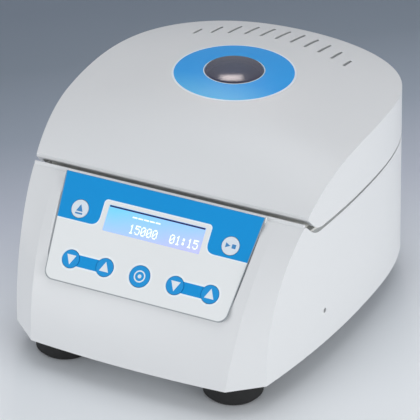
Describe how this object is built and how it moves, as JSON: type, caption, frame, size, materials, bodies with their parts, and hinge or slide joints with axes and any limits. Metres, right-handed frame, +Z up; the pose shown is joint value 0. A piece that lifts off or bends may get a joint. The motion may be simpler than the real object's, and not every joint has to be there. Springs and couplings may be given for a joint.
{
  "type": "microcentrifuge",
  "caption": "Compact bench centrifuge with a domed hinged lid and round window, a sloping control panel with a character display and push keys, and an angled rotor for small capped tubes.",
  "frame": {"origin": "on the bench under the middle of the closed machine's bounding box", "axes": "+Z up, front with the control panel towards -Y, +X to the right seen from the front"},
  "size_m": [0.2016, 0.26, 0.1509],
  "materials": {
    "housing": "smooth light grey moulded plastic",
    "floor": "moulded grey plastic",
    "foot_rubber": "black rubber",
    "zinc": "zinc plated steel",
    "steel": "brushed steel",
    "motor_metal": "dark metal",
    "core_steel": "laminated steel and windings",
    "gasket_rubber": "soft dark rubber",
    "bowl_steel": "deep drawn stainless steel",
    "rotor_aluminium": "hard anodised aluminium",
    "knob_plastic": "black moulded knob",
    "deck_plastic": "off-white moulded plastic",
    "smoked_window": "smoked clear plastic",
    "label": "blue and white printed film",
    "overlay": "blue and white printed film",
    "display_window": "clear window over a lit display",
    "display": "blue lit character display",
    "circuit_board": "green circuit board",
    "component": "dark electronic components",
    "black_plastic": "black moulded plastic",
    "rear_metal": "painted sheet metal",
    "pin_brass": "plated brass",
    "key_white": "white printed key",
    "key_blue": "blue printed key"
  },
  "bodies": {
    "base": {"base_housing": "housing", "floor_plate": "floor", "rubber_feet": "foot_rubber", "foot_screws": "zinc", "foot_nuts": "zinc", "floor_screws": "zinc", "deck_screws": "zinc", "damper_screws": "zinc", "board_screws": "zinc", "fan_screws": "zinc", "hinge_base_screws": "zinc", "rear_panel_screws": "zinc", "hinge_base_leaf": "steel", "hinge_pin": "steel", "catch_bracket": "steel", "catch_solenoid": "motor_metal", "motor_bearings": "steel", "motor_mount": "steel", "motor_can": "motor_metal", "motor_end_cap": "motor_metal", "motor_stator": "core_steel", "motor_dampers": "foot_rubber", "chamber_gasket": "gasket_rubber", "chamber_bowl": "bowl_steel", "top_deck": "deck_plastic", "control_overlay": "overlay", "display_lens": "display_window", "display_module": "display", "control_board": "circuit_board", "power_board": "circuit_board", "power_components": "component", "key_switches": "component", "fan_frame": "black_plastic", "power_switch": "black_plastic", "mains_inlet": "black_plastic", "rear_panel": "rear_metal", "inlet_pins": "pin_brass"},
    "lid": {"lid_shell": "housing", "lid_liner": "deck_plastic", "window_lens": "smoked_window", "ring_label": "label", "lid_screws": "zinc", "lid_striker": "steel", "hinge_lid_leaf": "steel", "hinge_lid_screws": "zinc"},
    "rotor": {"spindle": "steel", "magnet_rotor": "core_steel", "tube_rotor": "rotor_aluminium", "rotor_nut": "knob_plastic"},
    "fan": {"fan_impeller": "black_plastic"},
    "catch": {"catch_bolt": "steel"},
    "rocker": {"power_rocker": "black_plastic"},
    "key_lid": {"key_lid": "key_white"},
    "key_start_stop": {"key_start_stop": "key_white"},
    "key_speed_down": {"key_speed_down": "key_blue"},
    "key_speed_up": {"key_speed_up": "key_blue"},
    "key_short_spin": {"key_short_spin": "key_blue"},
    "key_time_down": {"key_time_down": "key_blue"},
    "key_time_up": {"key_time_up": "key_blue"}
  },
  "joints": [
    {"name": "lid_hinge", "type": "hinge", "parent": "base", "child": "lid", "pos_m": [0, 0.126, 0.1034], "axis": [-1, 0, 0], "range_deg": [0, 75]},
    {"name": "rotor_spin", "type": "hinge", "parent": "base", "child": "rotor", "pos_m": [0, 0.0215, 0.085], "axis": [0, 0, 1], "continuous": true},
    {"name": "fan_spin", "type": "hinge", "parent": "base", "child": "fan", "pos_m": [-0.055, -0.04, 0.0275], "axis": [0, 0, 1], "continuous": true},
    {"name": "catch_slide", "type": "slide", "parent": "base", "child": "catch", "axis": [0, 1, 0], "range_m": [0, 0.0062]},
    {"name": "rocker_tilt", "type": "hinge", "parent": "base", "child": "rocker", "pos_m": [0.02, 0.116, 0.051], "axis": [1, 0, 0], "range_deg": [0, 16]},
    {"name": "key_lid_press", "type": "slide", "parent": "base", "child": "key_lid", "axis": [0, 0.7627, -0.6468], "range_m": [0, 0.0005], "stiffness_N_per_m": 1500},
    {"name": "key_start_stop_press", "type": "slide", "parent": "base", "child": "key_start_stop", "axis": [0, 0.7627, -0.6468], "range_m": [0, 0.0005], "stiffness_N_per_m": 1500},
    {"name": "key_speed_down_press", "type": "slide", "parent": "base", "child": "key_speed_down", "axis": [0, 0.7627, -0.6468], "range_m": [0, 0.0005], "stiffness_N_per_m": 1500},
    {"name": "key_speed_up_press", "type": "slide", "parent": "base", "child": "key_speed_up", "axis": [0, 0.7627, -0.6468], "range_m": [0, 0.0005], "stiffness_N_per_m": 1500},
    {"name": "key_short_spin_press", "type": "slide", "parent": "base", "child": "key_short_spin", "axis": [0, 0.7627, -0.6468], "range_m": [0, 0.0005], "stiffness_N_per_m": 1500},
    {"name": "key_time_down_press", "type": "slide", "parent": "base", "child": "key_time_down", "axis": [0, 0.7627, -0.6468], "range_m": [0, 0.0005], "stiffness_N_per_m": 1500},
    {"name": "key_time_up_press", "type": "slide", "parent": "base", "child": "key_time_up", "axis": [0, 0.7627, -0.6468], "range_m": [0, 0.0005], "stiffness_N_per_m": 1500}
  ]
}
